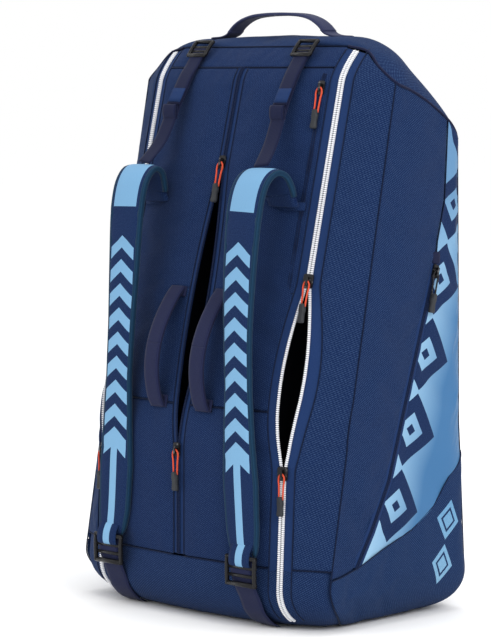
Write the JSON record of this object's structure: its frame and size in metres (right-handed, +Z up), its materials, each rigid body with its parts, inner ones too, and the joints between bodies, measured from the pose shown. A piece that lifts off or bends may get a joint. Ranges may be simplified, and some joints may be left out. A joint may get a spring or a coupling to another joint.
{
  "type": "racket tournament bag",
  "caption": "Upright racket bag with zipped compartments, padded shoulder straps, carry handles and gradient side pockets.",
  "frame": {"origin": "middle of the flat underside that the bag stands on", "axes": "+Z up along the bag, -Y towards the shoulder straps, +X to the right seen from the straps"},
  "size_m": [0.476, 0.3355, 0.792],
  "materials": {
    "shell_fabric": "matt navy twill",
    "satin_print": "satin, light blue",
    "base_guard_fabric": "coarse navy weave",
    "strap_print": "light blue print on navy",
    "webbing": "ribbed purple-navy webbing",
    "lining": "dark lining",
    "board": "stiff board",
    "zip_white": "white moulded teeth on tape",
    "zip_navy": "navy coil on tape",
    "slider_metal": "black lacquer",
    "pull_cord": "red cord with moulded tab",
    "buckle_plastic": "black"
  },
  "bodies": {
    "root": {"accessory_zip": "zip_navy", "back_panel": "shell_fabric", "base_board": "board", "base_guard_left": "base_guard_fabric", "base_guard_right": "base_guard_fabric", "base_panel": "shell_fabric", "carry_handle_anchors": "webbing", "centre_zip": "zip_navy", "divider_left": "lining", "divider_right": "lining", "gusset_left": "shell_fabric", "gusset_right": "shell_fabric", "left_pocket_zip": "zip_navy", "left_zip": "zip_white", "lifter_buckles": "buckle_plastic", "lifter_tails": "webbing", "lifter_webbing_left": "webbing", "lifter_webbing_right": "webbing", "lower_webbing_left": "webbing", "lower_webbing_right": "webbing", "pocket_lining_left": "lining", "pocket_lining_right": "lining", "right_pocket_zip": "zip_navy", "right_zip": "zip_white", "roof_panel": "shell_fabric", "side_panel_left": "shell_fabric", "side_panel_right": "shell_fabric", "side_pocket_left": "satin_print", "side_pocket_right": "satin_print", "strap_face_left": "shell_fabric", "strap_face_right": "shell_fabric", "strap_root_patches": "webbing", "top_handle_anchors": "webbing", "top_yoke": "shell_fabric"},
    "left_zip_upper_slider": {"left_zip_upper_slider": "slider_metal"},
    "left_zip_upper_pull": {"left_zip_upper_pull": "pull_cord"},
    "right_zip_upper_slider": {"right_zip_upper_slider": "slider_metal"},
    "right_zip_upper_pull": {"right_zip_upper_pull": "pull_cord"},
    "left_zip_lower_slider": {"left_zip_lower_slider": "slider_metal"},
    "left_zip_lower_pull": {"left_zip_lower_pull": "pull_cord"},
    "right_zip_lower_slider": {"right_zip_lower_slider": "slider_metal"},
    "right_zip_lower_pull": {"right_zip_lower_pull": "pull_cord"},
    "centre_zip_upper_slider": {"centre_zip_upper_slider": "slider_metal"},
    "centre_zip_upper_pull": {"centre_zip_upper_pull": "pull_cord"},
    "centre_zip_lower_slider": {"centre_zip_lower_slider": "slider_metal"},
    "centre_zip_lower_pull": {"centre_zip_lower_pull": "pull_cord"},
    "accessory_zip_slider": {"accessory_zip_slider": "slider_metal"},
    "accessory_zip_pull": {"accessory_zip_pull": "pull_cord"},
    "right_pocket_slider": {"right_pocket_slider": "slider_metal"},
    "right_pocket_pull": {"right_pocket_pull": "pull_cord"},
    "left_pocket_slider": {"left_pocket_slider": "slider_metal"},
    "left_pocket_pull": {"left_pocket_pull": "pull_cord"},
    "top_handle": {"top_handle": "webbing"},
    "carry_handle_left": {"carry_handle_left": "webbing"},
    "strap_left": {"lower_buckle_left": "buckle_plastic", "strap_pad_left": "strap_print"},
    "carry_handle_right": {"carry_handle_right": "webbing"},
    "strap_right": {"lower_buckle_right": "buckle_plastic", "strap_pad_right": "strap_print"}
  },
  "joints": [
    {"name": "left_zip_upper_slide", "type": "slide", "parent": "root", "child": "left_zip_upper_slider", "axis": [0, 0.2309, 0.973], "range_m": [0, 0.2508]},
    {"name": "left_zip_upper_pull_swing", "type": "hinge", "parent": "left_zip_upper_slider", "child": "left_zip_upper_pull", "pos_m": [-0.16971, -0.08895, 0.44718], "axis": [-0.9483, 0.3088, -0.0733], "range_deg": [0, 150]},
    {"name": "right_zip_upper_slide", "type": "slide", "parent": "root", "child": "right_zip_upper_slider", "axis": [0, 0.2309, 0.973], "range_m": [0, 0.2508]},
    {"name": "right_zip_upper_pull_swing", "type": "hinge", "parent": "right_zip_upper_slider", "child": "right_zip_upper_pull", "pos_m": [0.16971, -0.08895, 0.44718], "axis": [-0.9483, -0.3088, 0.0733], "range_deg": [0, 150]},
    {"name": "left_zip_lower_slide", "type": "slide", "parent": "root", "child": "left_zip_lower_slider", "axis": [0, -0.0466, -0.9989], "range_m": [0, 0.1341]},
    {"name": "left_zip_lower_pull_swing", "type": "hinge", "parent": "left_zip_lower_slider", "child": "left_zip_lower_pull", "pos_m": [-0.16975, -0.1354, 0.20424], "axis": [-0.9457, 0.3246, -0.0151], "range_deg": [0, 150]},
    {"name": "right_zip_lower_slide", "type": "slide", "parent": "root", "child": "right_zip_lower_slider", "axis": [0, -0.0466, -0.9989], "range_m": [0, 0.1341]},
    {"name": "right_zip_lower_pull_swing", "type": "hinge", "parent": "right_zip_lower_slider", "child": "right_zip_lower_pull", "pos_m": [0.16975, -0.1354, 0.20424], "axis": [-0.9457, -0.3246, 0.0151], "range_deg": [0, 150]},
    {"name": "centre_zip_upper_slide", "type": "slide", "parent": "root", "child": "centre_zip_upper_slider", "axis": [0, 0.2449, 0.9695], "range_m": [0, 0.1]},
    {"name": "centre_zip_upper_pull_swing", "type": "hinge", "parent": "centre_zip_upper_slider", "child": "centre_zip_upper_pull", "pos_m": [0, -0.07563, 0.59432], "axis": [-1, 0, 0], "range_deg": [0, 150]},
    {"name": "centre_zip_lower_slide", "type": "slide", "parent": "root", "child": "centre_zip_lower_slider", "axis": [0, 0, -1], "range_m": [0, 0.1257]},
    {"name": "centre_zip_lower_pull_swing", "type": "hinge", "parent": "centre_zip_lower_slider", "child": "centre_zip_lower_pull", "pos_m": [0, -0.1594, 0.222], "axis": [-1, 0, 0], "range_deg": [0, 150]},
    {"name": "accessory_zip_slide", "type": "slide", "parent": "root", "child": "accessory_zip_slider", "axis": [0, -0.2328, -0.9725], "range_m": [0, 0.0607]},
    {"name": "accessory_zip_pull_swing", "type": "hinge", "parent": "accessory_zip_slider", "child": "accessory_zip_pull", "pos_m": [0.14351, -0.03833, 0.69224], "axis": [-0.9824, -0.1815, 0.0434], "range_deg": [0, 150]},
    {"name": "right_pocket_slide", "type": "slide", "parent": "root", "child": "right_pocket_slider", "axis": [0, -0.3059, -0.9521], "range_m": [0, 0.265]},
    {"name": "right_pocket_pull_swing", "type": "hinge", "parent": "right_pocket_slider", "child": "right_pocket_pull", "pos_m": [0.2354, 0.08633, 0.45358], "axis": [0, -0.9521, 0.3059], "range_deg": [0, 150]},
    {"name": "left_pocket_slide", "type": "slide", "parent": "root", "child": "left_pocket_slider", "axis": [0, -0.3059, -0.9521], "range_m": [0, 0.265]},
    {"name": "left_pocket_pull_swing", "type": "hinge", "parent": "left_pocket_slider", "child": "left_pocket_pull", "pos_m": [-0.2354, 0.08633, 0.45358], "axis": [0, 0.9521, -0.3059], "range_deg": [0, 150]},
    {"name": "top_handle_swing", "type": "hinge", "parent": "root", "child": "top_handle", "pos_m": [0, 0.038, 0.765], "axis": [1, 0, 0], "range_deg": [-25, 25], "stiffness_Nm_per_rad": 0.4},
    {"name": "carry_handle_left_swing", "type": "hinge", "parent": "root", "child": "carry_handle_left", "pos_m": [-0.042, -0.13114, 0.353], "axis": [0, 0.2399, 0.9708], "range_deg": [-25, 25], "stiffness_Nm_per_rad": 0.15},
    {"name": "strap_left_lift", "type": "hinge", "parent": "root", "child": "strap_left", "pos_m": [-0.12, -0.08, 0.545], "axis": [-1, 0, 0], "range_deg": [0, 8]},
    {"name": "carry_handle_right_swing", "type": "hinge", "parent": "root", "child": "carry_handle_right", "pos_m": [0.042, -0.13114, 0.353], "axis": [0, 0.2399, 0.9708], "range_deg": [-25, 25], "stiffness_Nm_per_rad": 0.15},
    {"name": "strap_right_lift", "type": "hinge", "parent": "root", "child": "strap_right", "pos_m": [0.12, -0.08, 0.545], "axis": [-1, 0, 0], "range_deg": [0, 8]}
  ]
}
